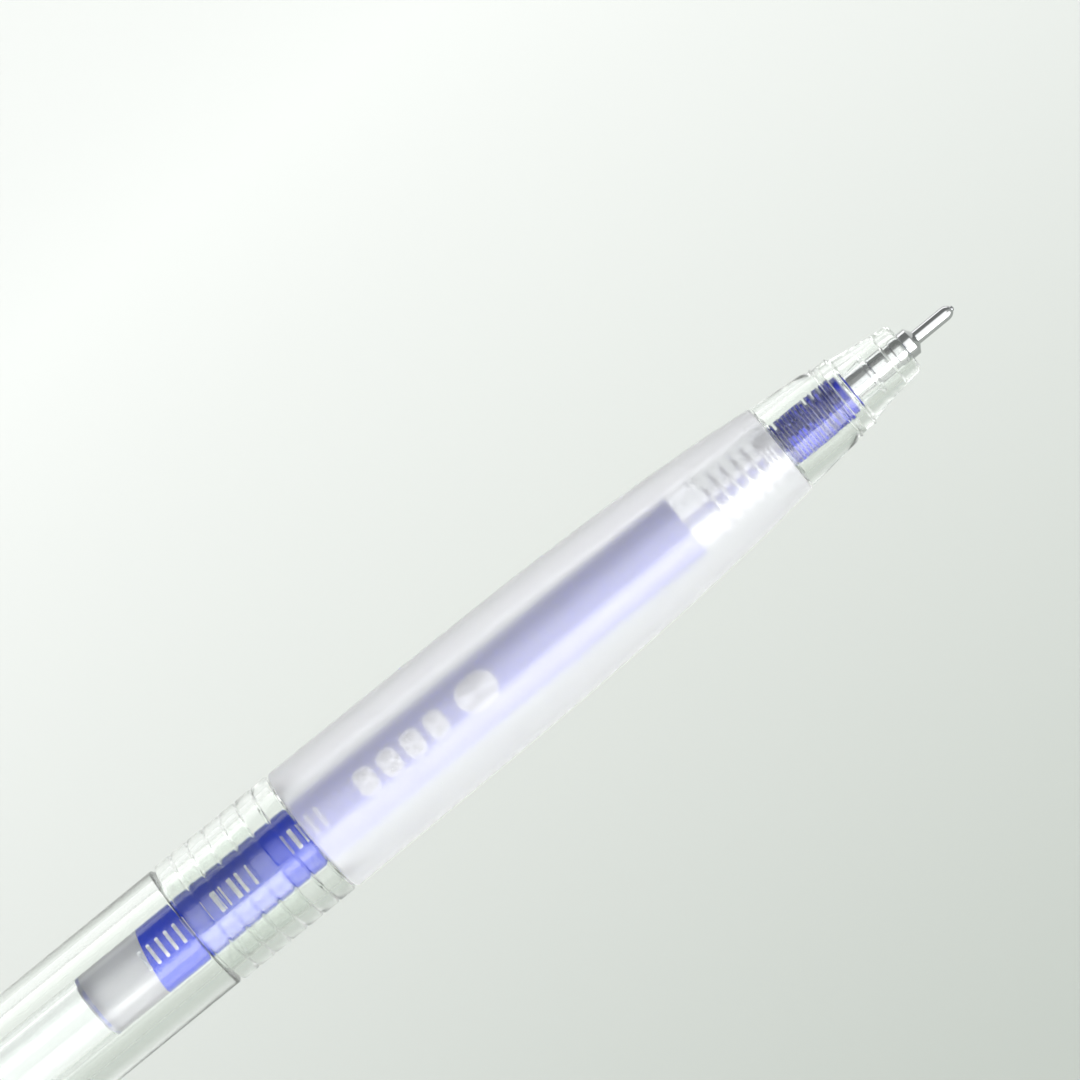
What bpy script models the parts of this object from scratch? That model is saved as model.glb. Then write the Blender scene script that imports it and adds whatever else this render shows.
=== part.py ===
"""Click gel pen with a needle point, a soft grip sleeve and a clear barrel.

Frame: metres, +Z up.  The pen lies on a flat surface at z = 0, resting on its collar and on one
corner of its clip, with the writing tip towards +X.  The origin is the middle of the footprint.

Places along the pen are stations: millimetres behind the writing tip, with the tip extended.
Radii are millimetres from the pen's long axis.
"""
import math

import bmesh
import bpy

MM = 0.001
LENGTH = 145.0
SEGMENTS = 36
SMALL_SEGMENTS = 20
FIT_GAP = 0.05
FACE_GAP = 0.15

# refill
BALL_R = 0.25
NEEDLE_R = 0.58
NEEDLE_END = 3.7
SHANK_START = 4.1
SHANK_R = 1.17
SHANK_END = 8.0
SHANK_TAIL_R = 0.98
SHANK_TAIL_END = 10.2
TIP_BORE_R = 0.29
HOLDER_FLANGE_R = 1.75
HOLDER_R = 1.45
HOLDER_END = 10.5
COMB_START = 10.55
COMB_STEP = 11.15
COMB_END = 17.1
COMB_R = 1.93
COMB_CORE_R = 1.1
COMB_FINS = 12
INK_BORE_R = 0.45
NECK_START = 17.15
NECK_R = 1.5
NECK_FLANGE = 23.95
TUBE_START = 24.5
TUBE_R = 2.75
TUBE_BORE_R = 2.2
PLUG_END = 26.5
INK_END = 79.7
FOLLOWER_END = 85.4
TUBE_END = 111.3
TAIL_PLUG_START = 108.8
VENT_R = 0.4

# front section
MOUTH = 4.8
MOUTH_BORE_R = 1.4
LIP_END = 6.5
FRONT_BORE_R = 1.88
STOP_FACE = 10.2
STOP_BORE_R = 2.05
CAVITY_START = 11.1
CAVITY_R = 2.8
SEAT_START = 16.8
SEAT_END = 17.25
SEAT_R = 2.75
SEAT_BORE_R = 2.0
REFILL_BORE_START = 23.4
REFILL_BORE_R = 2.95
BAND_START = 10.15
BAND_END = 11.8
BAND_R = 3.2
GRIP_START = 17.1
GRIP_END = 63.7
GRIP_OUTLINE = ((17.1, 3.9), (22.9, 4.51), (32.5, 5.1), (45.4, 5.42), (63.7, 5.55))
GRIP_THIN = 0.5
GRIP_THICK = 0.95
GRIP_FULL = 32.0
COLLAR_END = 75.0
COLLAR_R = 5.55
RIB_COUNT = 7
RIB_DEPTH = 0.14
SOCKET_START = 64.4
SOCKET_R = 4.5

# barrel and clicker
SPIGOT_START = 66.9
SPIGOT_R = 4.4
BARREL_START = 75.3
BARREL_R = 5.5
BARREL_BORE_R = 4.0
BARREL_NECK = 124.0
BARREL_NECK_R = 4.9
BARREL_END = 128.0
GUIDE_START = 111.0
GUIDE_R = 3.92
GUIDE_BORE_R = 3.45
GUIDE_FLANGE_R = 4.8
GUIDE_END = 129.5
GUIDE_RIB_R = 3.0
GUIDE_RIB_START = 118.5
GUIDE_RIB_COUNT = 4
CAP_STEP = 129.7
CAP_TAPER = 134.0
CAP_END = 138.0
CAP_END_R = 4.6
BUTTON_BORE_R = 2.97
BUTTON_R = 2.85
BUTTON_START = 126.0
BUTTON_SOCKET_END = 142.0
STEM_R = 2.4
STEM_BORE_R = 1.7
STEM_START = 118.7
STEM_END = 141.0
SPLINE_R = 3.3
SPLINE_START = 120.4
SPLINE_END = 124.0
ROTOR_START = 111.6
ROTOR_END = 118.4
ROTOR_R = 2.4
ROTOR_BORE_R = 1.2
ROTOR_RIB_R = 3.3
ROTOR_RIB_START = 113.0
ROTOR_RIB_END = 116.2
TOOTH_COUNT = 8
TOOTH_HEIGHT = 0.8
RIB_WIDTH_DEG = 16.0

# return spring
SPRING_MEAN_R = 2.25
SPRING_WIRE_R = 0.17
SPRING_START = 17.45
SPRING_END = 23.7
SPRING_CLOSED_TURNS = 3
SPRING_OPEN_TURNS = 5

# fine spring that holds the ball against its seat
BALL_SPRING_R = 0.16
BALL_SPRING_WIRE_R = 0.05
BALL_SPRING_START = 0.62
BALL_SPRING_END = 7.4
BALL_SPRING_TURNS = 13

# clip
CLIP_ROOT = 136.4
CLIP_PIVOT = 134.8
CLIP_PIVOT_R = 5.0
CLIP_FOOT_START = 131.1
CLIP_FOOT_END = 135.35
CLIP_TIP = 99.0
CLIP_WIDTH = 3.8
CLIP_OUTER = 7.9
CLIP_INNER = 6.7
CLIP_PAD = 5.75
CLIP_LIP = 8.2
CLIP_SLOT_FLOOR = 4.35

CLIP_CORNER_R = math.hypot(CLIP_LIP, CLIP_WIDTH / 2)
CLIP_CORNER_DEG = math.degrees(math.atan2(CLIP_WIDTH / 2, CLIP_LIP))
CLIP_FROM_DOWN_DEG = math.degrees(math.acos(COLLAR_R / CLIP_CORNER_R)) + CLIP_CORNER_DEG
CLIP_REACH = CLIP_CORNER_R * math.sin(math.radians(CLIP_FROM_DOWN_DEG + CLIP_CORNER_DEG))

TIP_X = LENGTH / 2
AXIS_Y = (CLIP_REACH - COLLAR_R) / 2
AXIS_Z = COLLAR_R


def clear_scene():
    """Remove every object that the file starts with."""
    for obj in list(bpy.data.objects):
        bpy.data.objects.remove(obj, do_unlink=True)


def material(name, colour, roughness, metallic=0.0, transmission=0.0):
    """A Principled material."""
    mat = bpy.data.materials.new(name)
    mat.use_nodes = True
    shader = mat.node_tree.nodes["Principled BSDF"]
    shader.inputs["Base Color"].default_value = (*colour, 1.0)
    shader.inputs["Roughness"].default_value = roughness
    shader.inputs["Metallic"].default_value = metallic
    shader.inputs["Transmission Weight"].default_value = transmission
    return mat


def make_materials():
    """The pen's materials, by name."""
    return {
        "clear": material("clear_plastic", (0.86, 0.90, 0.87), 0.05, transmission=1.0),
        "frosted": material("frosted_rubber", (0.93, 0.92, 0.96), 0.6, transmission=0.6),
        "milky": material("milky_plastic", (0.90, 0.92, 0.92), 0.3, transmission=0.4),
        "steel": material("polished_steel", (0.72, 0.72, 0.74), 0.15, metallic=1.0),
        "spring": material("spring_steel", (0.62, 0.63, 0.65), 0.25, metallic=1.0),
        "ink": material("blue_ink", (0.05, 0.09, 0.55), 0.2),
        "comb": material("inked_comb", (0.10, 0.12, 0.42), 0.3, transmission=0.3),
        "follower": material("follower_grease", (0.86, 0.85, 0.90), 0.35, transmission=0.5),
        "tube": material("refill_tube", (0.90, 0.91, 0.94), 0.15, transmission=0.8),
        "cam": material("white_acetal", (0.90, 0.90, 0.88), 0.35),
        "carbide": material("carbide_ball", (0.45, 0.45, 0.47), 0.2, metallic=1.0),
    }


def axis_point(station, pivot):
    """A point on the pen's long axis, in the space of an object whose origin is at pivot."""
    return ((pivot - station) * MM, 0.0, 0.0)


def ring_point(station, radius, angle, pivot):
    """A point at a radius and an angle about the long axis; angle 0 is +Z and 90 degrees is +Y."""
    return (
        (pivot - station) * MM,
        radius * MM * math.sin(angle),
        radius * MM * math.cos(angle),
    )


def arc(station, radius, size, start_deg, end_deg, steps):
    """Outline points on an arc about (station, radius)."""
    points = []
    for i in range(steps + 1):
        angle = math.radians(start_deg + (end_deg - start_deg) * i / steps)
        points.append((station + size * math.cos(angle), radius + size * math.sin(angle)))
    return points


def smooth_radius(outline, station):
    """Radius of a smooth outline at a station, by monotone cubic steps between its points."""
    slopes = [
        (b[1] - a[1]) / (b[0] - a[0]) for a, b in zip(outline, outline[1:])
    ]
    tangents = [slopes[0]]
    for before, after in zip(slopes, slopes[1:]):
        tangents.append(2 * before * after / (before + after))
    tangents.append(slopes[-1])
    station = min(max(station, outline[0][0]), outline[-1][0])
    for i, (a, b) in enumerate(zip(outline, outline[1:])):
        if station <= b[0]:
            span = b[0] - a[0]
            t = (station - a[0]) / span
            return (
                a[1] * (2 * t**3 - 3 * t**2 + 1)
                + b[1] * (3 * t**2 - 2 * t**3)
                + span * tangents[i] * (t**3 - 2 * t**2 + t)
                + span * tangents[i + 1] * (t**3 - t**2)
            )
    return outline[-1][1]


def grip_outer(station):
    """Outside radius of the grip sleeve."""
    return smooth_radius(GRIP_OUTLINE, station)


def grip_inner(station):
    """Inside radius of the grip sleeve, which is thinner towards the nose."""
    share = min(max((station - GRIP_START) / (GRIP_FULL - GRIP_START), 0.0), 1.0)
    return grip_outer(station) - GRIP_THIN - (GRIP_THICK - GRIP_THIN) * share


def spread(start, end, steps):
    """Evenly spaced stations, both ends included."""
    return [start + (end - start) * i / steps for i in range(steps + 1)]


def add_object(name, mesh, mat, pivot, turn=0.0):
    """Place a mesh built about a pivot station, turned about the long axis."""
    mesh.materials.append(mat)
    obj = bpy.data.objects.new(name, mesh)
    obj.location = (TIP_X * MM - pivot * MM, AXIS_Y * MM, AXIS_Z * MM)
    obj.rotation_euler = (turn, 0.0, 0.0)
    bpy.context.scene.collection.objects.link(obj)
    return obj


def finish_mesh(bm, name):
    """Turn a bmesh into a mesh with its faces outwards and its round faces smooth."""
    bmesh.ops.recalc_face_normals(bm, faces=bm.faces)
    mesh = bpy.data.meshes.new(name)
    bm.to_mesh(mesh)
    bm.free()
    mesh.shade_smooth()
    mesh.set_sharp_from_angle(angle=math.radians(28))
    return mesh


def add_ring(bm, station, radius, pivot, segments, shift=0.0):
    """One ring of vertices, or a single vertex where the radius is nothing."""
    if radius == 0:
        return [bm.verts.new(axis_point(station, pivot))]
    step = 2 * math.pi / segments
    return [bm.verts.new(ring_point(station, radius, i * step + shift, pivot)) for i in range(segments)]


def bridge(bm, one, other):
    """Faces between two rings of a turned shape."""
    count = max(len(one), len(other))
    for i in range(count):
        j = (i + 1) % count
        if len(one) == 1:
            bm.faces.new((one[0], other[i], other[j]))
        elif len(other) == 1:
            bm.faces.new((one[i], other[0], one[j]))
        else:
            bm.faces.new((one[i], other[i], other[j], one[j]))


def turned_mesh(name, outline, pivot, segments=SEGMENTS, closed=True):
    """A turned solid.  A closed outline makes a hollow shape; an open one ends on the axis."""
    bm = bmesh.new()
    rings = [add_ring(bm, station, radius, pivot, segments) for station, radius in outline]
    for one, other in zip(rings, rings[1:]):
        bridge(bm, one, other)
    if closed:
        bridge(bm, rings[-1], rings[0])
    return finish_mesh(bm, name)


def turned(name, outline, mat, pivot=0.0, segments=SEGMENTS, closed=True):
    """A turned solid as an object."""
    return add_object(name, turned_mesh(name, outline, pivot, segments, closed), mat, pivot)


def tube_outline(start, end, outer, inner):
    """Outline of a plain tube."""
    return [(start, inner), (start, outer), (end, outer), (end, inner)]


def wedge(name, start, end, inner, outer, centre, width, pivot, start_slope=0.0, end_slope=0.0):
    """A rib between two radii, its ends slanted by a change of station from side to side."""
    bm = bmesh.new()
    corners = []
    for side in (-1, 1):
        angle = centre + side * width / 2
        for station, slope in ((start, start_slope), (end, end_slope)):
            for radius in (inner, outer):
                corners.append(bm.verts.new(ring_point(station + side * slope / 2, radius, angle, pivot)))
    for face in ((0, 1, 3, 2), (4, 6, 7, 5), (0, 4, 5, 1), (2, 3, 7, 6), (0, 2, 6, 4), (1, 5, 7, 3)):
        bm.faces.new([corners[i] for i in face])
    return add_cutter(name, finish_mesh(bm, name), pivot)


def add_cutter(name, mesh, pivot):
    """A helper solid that only shapes another one."""
    obj = add_object(name, mesh, bpy.data.materials["white_acetal"], pivot)
    obj.hide_render = True
    obj.display_type = "WIRE"
    return obj


def combine(obj, helper, operation):
    """Join a helper solid to an object, or cut it away."""
    modifier = obj.modifiers.new(helper.name, "BOOLEAN")
    modifier.object = helper
    modifier.operation = operation
    modifier.solver = "EXACT"


def helix(name, stations, turns, radius, wire, mat, pivot, per_turn, sides):
    """A wire spring; stations gives the station at each share of its turns."""
    curve = bpy.data.curves.new(name, "CURVE")
    curve.dimensions = "3D"
    curve.bevel_depth = wire * MM
    curve.bevel_resolution = sides
    curve.render_resolution_u = 0
    curve.use_fill_caps = True
    count = turns * per_turn
    spline = curve.splines.new("POLY")
    spline.points.add(count)
    for i in range(count + 1):
        point = ring_point(stations(i / per_turn), radius, 2 * math.pi * i / per_turn, pivot)
        spline.points[i].co = (*point, 1.0)
    return add_object(name, curve, mat, pivot)


def saw_ring(bm, station, radius, pivot, height, direction):
    """A ring of vertices whose stations rise and fall as saw teeth."""
    step = 2 * math.pi / TOOTH_COUNT
    verts = []
    for tooth in range(TOOTH_COUNT):
        for share, rise in ((0.0, 0.0), (0.8, 1.0)):
            angle = (tooth + share) * step
            verts.append(bm.verts.new(ring_point(station + direction * height * rise, radius, angle, pivot)))
    return verts


def toothed_tube(name, plain_end, tooth_root, outer, inner, direction, mat, pivot):
    """A tube with saw teeth on one end; direction is the way the teeth point, in stations."""
    bm = bmesh.new()
    segments = TOOTH_COUNT * 2
    rings = []
    for radius in (inner, outer):
        teeth = saw_ring(bm, tooth_root, radius, pivot, TOOTH_HEIGHT, direction)
        step = 2 * math.pi / TOOTH_COUNT
        plain = []
        for i in range(segments):
            angle = (i // 2 + (0.8 if i % 2 else 0.0)) * step
            plain.append(bm.verts.new(ring_point(plain_end, radius, angle, pivot)))
        rings.append((teeth, plain))
    (teeth_in, plain_in), (teeth_out, plain_out) = rings
    bridge(bm, teeth_in, teeth_out)
    bridge(bm, teeth_out, plain_out)
    bridge(bm, plain_out, plain_in)
    bridge(bm, plain_in, teeth_in)
    bmesh.ops.triangulate(bm, faces=[f for f in bm.faces if len(f.verts) == 4])
    return add_object(name, finish_mesh(bm, name), mat, pivot)


def make_refill(mats):
    """Everything in the refill, which slides as one piece."""
    ball = bmesh.new()
    bmesh.ops.create_icosphere(ball, subdivisions=2, radius=BALL_R * MM)
    add_object("writing_ball", finish_mesh(ball, "writing_ball"), mats["carbide"], BALL_R)

    tip = [
        (0.12, 0.235),
        (0.12, 0.33),
        *arc(0.95, NEEDLE_R - 0.95, 0.95, 160, 90, 5),
        (NEEDLE_END, NEEDLE_R),
        (SHANK_START, SHANK_R),
        (5.85, SHANK_R),
        (5.98, SHANK_R - 0.12),
        (6.4, SHANK_R - 0.12),
        (6.53, SHANK_R),
        (SHANK_END, SHANK_R),
        (SHANK_END, SHANK_TAIL_R),
        (SHANK_TAIL_END, SHANK_TAIL_R),
        (SHANK_TAIL_END, TIP_BORE_R),
        (0.22, TIP_BORE_R),
    ]
    turned("needle_tip", tip, mats["steel"])

    spring_pitch = (BALL_SPRING_END - BALL_SPRING_START) / BALL_SPRING_TURNS
    helix(
        "ball_spring",
        lambda turn: BALL_SPRING_START + spring_pitch * turn,
        BALL_SPRING_TURNS,
        BALL_SPRING_R,
        BALL_SPRING_WIRE_R,
        mats["spring"],
        0.0,
        per_turn=10,
        sides=0,
    )

    holder = [
        (SHANK_END + FIT_GAP, SHANK_TAIL_R + FIT_GAP),
        (SHANK_END + FIT_GAP, HOLDER_FLANGE_R),
        (SHANK_END + 0.4, HOLDER_FLANGE_R),
        (SHANK_END + 0.4, HOLDER_R),
        (HOLDER_END, HOLDER_R),
        (HOLDER_END, SHANK_TAIL_R + FIT_GAP),
    ]
    turned("tip_holder", holder, mats["tube"], segments=SMALL_SEGMENTS)

    comb = [(COMB_START, INK_BORE_R), (COMB_START, COMB_R - 0.25), (COMB_STEP, COMB_R - 0.25)]
    pitch = (COMB_END - COMB_STEP) / (COMB_FINS - 0.5)
    for fin in range(COMB_FINS):
        start = COMB_STEP + fin * pitch
        if fin > 0:
            comb.append((start, COMB_CORE_R))
        comb += [(start, COMB_R), (start + pitch / 2, COMB_R)]
        comb.append((start + pitch / 2, COMB_CORE_R if fin < COMB_FINS - 1 else INK_BORE_R))
    turned("ink_comb", comb, mats["comb"], segments=SMALL_SEGMENTS)

    neck = [
        (NECK_START, INK_BORE_R),
        (NECK_START, NECK_R),
        (NECK_FLANGE, NECK_R),
        (NECK_FLANGE, TUBE_R - 0.05),
        (TUBE_START - FIT_GAP, TUBE_R - 0.05),
        (TUBE_START - FIT_GAP, TUBE_BORE_R - FIT_GAP),
        (PLUG_END, TUBE_BORE_R - FIT_GAP),
        (PLUG_END, INK_BORE_R),
    ]
    turned("holder_neck", neck, mats["tube"], segments=SMALL_SEGMENTS)

    turned("ink_tube", tube_outline(TUBE_START, TUBE_END, TUBE_R, TUBE_BORE_R), mats["tube"])

    ink_r = TUBE_BORE_R - FIT_GAP
    ink = [(PLUG_END + FIT_GAP, 0), (PLUG_END + FIT_GAP, ink_r), (INK_END, ink_r), (INK_END - 0.6, 0)]
    turned("ink_column", ink, mats["ink"], closed=False)
    follower_start = INK_END + FIT_GAP
    follower = [(follower_start - 0.6, 0), (follower_start, ink_r), (FOLLOWER_END, ink_r), (FOLLOWER_END - 0.6, 0)]
    turned("ink_follower", follower, mats["follower"], closed=False)

    plug = tube_outline(TAIL_PLUG_START, TUBE_END, ink_r, VENT_R)
    turned("tail_plug", plug, mats["cam"], segments=SMALL_SEGMENTS)


def make_front_section(mats):
    """The clear front section with its ribbed collar, its grip sleeve and the return spring."""
    outside = arc(MOUTH + 0.55, 1.67, 0.55, 180, 95, 4)
    outside += [(LIP_END, 2.36), (8.7, 2.66), (BAND_START, 2.98)]
    outside += [(BAND_START + 0.05, BAND_R - 0.06), (BAND_START + 0.15, BAND_R), (BAND_START + 0.3, BAND_R - 0.06)]
    outside += [(BAND_END - 0.3, BAND_R + 0.02), (BAND_END - 0.15, BAND_R + 0.1), (BAND_END, BAND_R + 0.04)]
    outside += [(12.3, 3.38), (14.7, 3.63), (GRIP_START - FACE_GAP, 3.8)]
    core_stations = spread(GRIP_START - FACE_GAP, GRIP_END + FACE_GAP, 12)
    core = [(station, grip_inner(station) - FIT_GAP) for station in core_stations]
    collar_start = GRIP_END + FACE_GAP
    rib_pitch = (COLLAR_END - collar_start) / RIB_COUNT
    collar = []
    for rib in range(RIB_COUNT):
        for share, depth in ((0.0, RIB_DEPTH), (0.25, 0.04), (0.5, 0.0), (0.75, 0.04)):
            collar.append((collar_start + (rib + share) * rib_pitch, COLLAR_R - depth))
    collar.append((COLLAR_END, COLLAR_R - RIB_DEPTH))
    inside = [
        (COLLAR_END, SOCKET_R),
        (SOCKET_START, SOCKET_R),
        (SOCKET_START - 0.8, 4.1),
        (SOCKET_START - 2.9, 3.6),
        (40.0, 3.45),
        (27.0, REFILL_BORE_R),
        (REFILL_BORE_START, REFILL_BORE_R),
        (REFILL_BORE_START, CAVITY_R),
        (CAVITY_START, CAVITY_R),
        (CAVITY_START, STOP_BORE_R),
        (STOP_FACE, STOP_BORE_R),
        (STOP_FACE - 0.2, FRONT_BORE_R),
        (LIP_END, FRONT_BORE_R),
        (LIP_END - 0.15, MOUTH_BORE_R),
        (MOUTH + 0.12, MOUTH_BORE_R),
    ]
    turned("nose_section", outside + core + collar + inside, mats["clear"])

    stations = spread(GRIP_START, GRIP_END, 12)
    outer = [(station, grip_outer(station)) for station in stations[1:-1]]
    outer.insert(0, (GRIP_START, grip_outer(GRIP_START) - 0.06))
    outer.insert(1, (GRIP_START + 0.12, grip_outer(GRIP_START + 0.12)))
    outer += [(GRIP_END - 0.2, grip_outer(GRIP_END)), (GRIP_END - 0.05, grip_outer(GRIP_END) - 0.06)]
    outer.append((GRIP_END, grip_outer(GRIP_END) - 0.2))
    inner = [(station, grip_inner(station)) for station in reversed(stations)]
    turned("grip_sleeve", outer + inner, mats["frosted"])

    turned("spring_seat", tube_outline(SEAT_START, SEAT_END, SEAT_R, SEAT_BORE_R), mats["tube"])

    closed_length = SPRING_CLOSED_TURNS * SPRING_WIRE_R * 2.15
    open_pitch = (SPRING_END - SPRING_START - closed_length) / SPRING_OPEN_TURNS

    def spring_station(turn):
        if turn <= SPRING_CLOSED_TURNS:
            return SPRING_START + closed_length * turn / SPRING_CLOSED_TURNS
        return SPRING_START + closed_length + open_pitch * (turn - SPRING_CLOSED_TURNS)

    helix(
        "return_spring",
        spring_station,
        SPRING_CLOSED_TURNS + SPRING_OPEN_TURNS,
        SPRING_MEAN_R,
        SPRING_WIRE_R,
        mats["spring"],
        SEAT_END,
        per_turn=16,
        sides=0,
    )


def make_barrel(mats):
    """The clear barrel, the clicker's guide sleeve and the rear cap."""
    barrel = [
        (SPIGOT_START, BARREL_BORE_R),
        (SPIGOT_START, SPIGOT_R),
        (BARREL_START, SPIGOT_R),
        (BARREL_START, BARREL_R - 0.12),
        (BARREL_START + 0.12, BARREL_R),
        (BARREL_NECK, BARREL_R),
        (BARREL_NECK, BARREL_NECK_R),
        (BARREL_END, BARREL_NECK_R),
        (BARREL_END, BARREL_BORE_R),
    ]
    turned("barrel_tube", barrel, mats["clear"])

    flange_start = BARREL_END + FACE_GAP
    guide = [
        (GUIDE_START, GUIDE_BORE_R),
        (GUIDE_START, GUIDE_R),
        (flange_start, GUIDE_R),
        (flange_start, GUIDE_FLANGE_R),
        (GUIDE_END, GUIDE_FLANGE_R),
        (GUIDE_END, GUIDE_BORE_R),
    ]
    sleeve = turned("cam_guide", guide, mats["milky"])
    middle = (GUIDE_BORE_R + GUIDE_R) / 2
    for i in range(GUIDE_RIB_COUNT):
        angle = 2 * math.pi * i / GUIDE_RIB_COUNT
        rib = wedge(
            f"guide_rib_{i}",
            GUIDE_RIB_START,
            GUIDE_END - 0.3,
            GUIDE_RIB_R,
            middle,
            angle,
            math.radians(RIB_WIDTH_DEG),
            0.0,
            start_slope=0.5,
        )
        combine(sleeve, rib, "UNION")

    skirt_r = BARREL_NECK_R + FIT_GAP
    cap = [
        (BARREL_NECK + FACE_GAP, skirt_r),
        (BARREL_NECK + FACE_GAP, BARREL_R),
        (CAP_TAPER, BARREL_R),
        *arc(CAP_TAPER, BARREL_R - 5.4, 5.4, 78, 48, 3),
        (CAP_END, CAP_END_R - 0.75),
        (CAP_END, BUTTON_BORE_R),
        (CAP_STEP, BUTTON_BORE_R),
        (CAP_STEP, skirt_r),
    ]
    rear_cap = turned("rear_cap", cap, mats["milky"])
    slot = bmesh.new()
    slot_width = CLIP_WIDTH / 2 + FACE_GAP
    slot_start = CLIP_FOOT_START - FACE_GAP
    slot_end = CLIP_FOOT_END + FACE_GAP
    corners = []
    for station in (slot_start, slot_end):
        for side in (-slot_width, slot_width):
            for height in (CLIP_SLOT_FLOOR, BARREL_R + 1.0):
                corners.append(slot.verts.new((-station * MM, side * MM, height * MM)))
    for face in ((0, 1, 3, 2), (4, 6, 7, 5), (0, 4, 5, 1), (2, 3, 7, 6), (0, 2, 6, 4), (1, 5, 7, 3)):
        slot.faces.new([corners[i] for i in face])
    cutter = add_cutter("clip_slot", finish_mesh(slot, "clip_slot"), 0.0)
    cutter.rotation_euler = (clip_turn(), 0.0, 0.0)
    combine(rear_cap, cutter, "DIFFERENCE")


def clip_turn():
    """Rotation about +X that takes straight up to the clip's place, low on the -Y side."""
    return math.pi - math.radians(CLIP_FROM_DOWN_DEG)


def make_clip(mats):
    """The clip: a flat arm with a foot in the rear cap and a pad that meets the barrel."""
    outline = [
        (CLIP_FOOT_END, CLIP_SLOT_FLOOR + FACE_GAP),
        (CLIP_FOOT_END, BARREL_R + 0.15),
        (CLIP_ROOT, BARREL_R + 0.4),
        (CLIP_ROOT, CLIP_OUTER - 0.6),
        (CLIP_ROOT - 0.7, CLIP_OUTER),
        (CLIP_TIP + 3.4, CLIP_OUTER),
        (CLIP_TIP + 0.9, CLIP_LIP),
        (CLIP_TIP, CLIP_LIP - 0.1),
        (CLIP_TIP, CLIP_LIP - 0.6),
        *[(CLIP_TIP + 3.0 - 1.9 * math.cos(a), CLIP_PAD + 1.2 - 1.2 * math.sin(a)) for a in spread(0.5, 2.2, 4)],
        (CLIP_TIP + 5.2, CLIP_INNER),
        (CLIP_FOOT_START - 1.2, CLIP_INNER),
        (CLIP_FOOT_START, CLIP_INNER - 0.5),
        (CLIP_FOOT_START, CLIP_SLOT_FLOOR + FACE_GAP),
    ]
    bm = bmesh.new()
    half = CLIP_WIDTH / 2 * MM
    sides = []
    for y in (-half, half):
        sides.append([bm.verts.new(((CLIP_PIVOT - s) * MM, y, (h - CLIP_PIVOT_R) * MM)) for s, h in outline])
    bm.faces.new(sides[0])
    bm.faces.new(list(reversed(sides[1])))
    bridge(bm, sides[0], sides[1])
    clip = add_object("clip", finish_mesh(bm, "clip"), mats["milky"], CLIP_PIVOT, turn=clip_turn())
    clip.location.y -= CLIP_PIVOT_R * MM * math.sin(clip_turn())
    clip.location.z += CLIP_PIVOT_R * MM * math.cos(clip_turn())


def make_clicker(mats):
    """The push button, the plunger that it drives and the rotor that locks the refill."""
    button = [
        (BUTTON_START, STEM_R + FIT_GAP),
        (BUTTON_START, BUTTON_R),
        (LENGTH - 0.9, BUTTON_R),
        *arc(LENGTH - 0.9, BUTTON_R - 0.9, 0.9, 60, 0, 3),
        (LENGTH, 0),
    ]
    cavity = [(BUTTON_SOCKET_END, 0), (BUTTON_SOCKET_END, STEM_R + FIT_GAP)]
    turned("push_button", cavity + button, mats["milky"], closed=False)

    plunger = toothed_tube(
        "thrust_plunger",
        STEM_END,
        STEM_START + TOOTH_HEIGHT,
        STEM_R,
        STEM_BORE_R,
        -1,
        mats["cam"],
        0.0,
    )
    rotor = toothed_tube(
        "rotor_cam",
        ROTOR_START,
        ROTOR_END - TOOTH_HEIGHT,
        ROTOR_R,
        ROTOR_BORE_R,
        1,
        mats["cam"],
        ROTOR_START,
    )
    width = math.radians(RIB_WIDTH_DEG)
    for i in range(GUIDE_RIB_COUNT):
        rib_angle = 2 * math.pi * i / GUIDE_RIB_COUNT
        channel_angle = rib_angle + math.pi / GUIDE_RIB_COUNT
        spline = wedge(
            f"plunger_spline_{i}",
            SPLINE_START,
            SPLINE_END,
            STEM_BORE_R + 0.35,
            SPLINE_R,
            channel_angle,
            width,
            0.0,
        )
        combine(plunger, spline, "UNION")
        rib = wedge(
            f"rotor_rib_{i}",
            ROTOR_RIB_START,
            ROTOR_RIB_END,
            ROTOR_BORE_R + 0.35,
            ROTOR_RIB_R,
            rib_angle,
            width,
            0.0,
            end_slope=0.5,
        )
        combine(rotor, rib, "UNION")


def main():
    """Build the whole pen."""
    clear_scene()
    mats = make_materials()
    make_refill(mats)
    make_front_section(mats)
    make_barrel(mats)
    make_clip(mats)
    make_clicker(mats)


main()
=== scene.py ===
"""Looks of the click gel pen: fine turned shapes, procedural materials, floor, light and camera.

Stations are millimetres behind the writing tip, as in the CAD model; radii are millimetres from
the pen's long axis.  Both are measured from the frame, and only the shapes' details are set here.
"""
import math

import bmesh
import bpy
from mathutils import Matrix, Vector, noise


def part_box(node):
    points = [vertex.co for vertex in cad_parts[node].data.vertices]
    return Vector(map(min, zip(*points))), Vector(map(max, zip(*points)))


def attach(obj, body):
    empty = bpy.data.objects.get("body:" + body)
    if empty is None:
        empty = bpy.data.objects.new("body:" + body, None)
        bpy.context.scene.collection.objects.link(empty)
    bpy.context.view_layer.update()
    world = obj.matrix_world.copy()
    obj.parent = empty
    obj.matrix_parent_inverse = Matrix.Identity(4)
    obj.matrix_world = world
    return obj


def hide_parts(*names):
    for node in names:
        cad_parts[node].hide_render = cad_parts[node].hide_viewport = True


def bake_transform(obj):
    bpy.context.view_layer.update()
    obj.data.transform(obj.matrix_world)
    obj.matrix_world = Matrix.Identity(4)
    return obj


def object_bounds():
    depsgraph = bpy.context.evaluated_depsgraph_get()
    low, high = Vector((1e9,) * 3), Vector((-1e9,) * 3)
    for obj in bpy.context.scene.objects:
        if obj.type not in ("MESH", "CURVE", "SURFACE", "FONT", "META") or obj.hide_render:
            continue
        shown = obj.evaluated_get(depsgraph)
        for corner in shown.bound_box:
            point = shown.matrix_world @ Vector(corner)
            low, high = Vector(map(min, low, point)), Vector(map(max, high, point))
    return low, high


MM = 0.001
ROUND = 128
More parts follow.
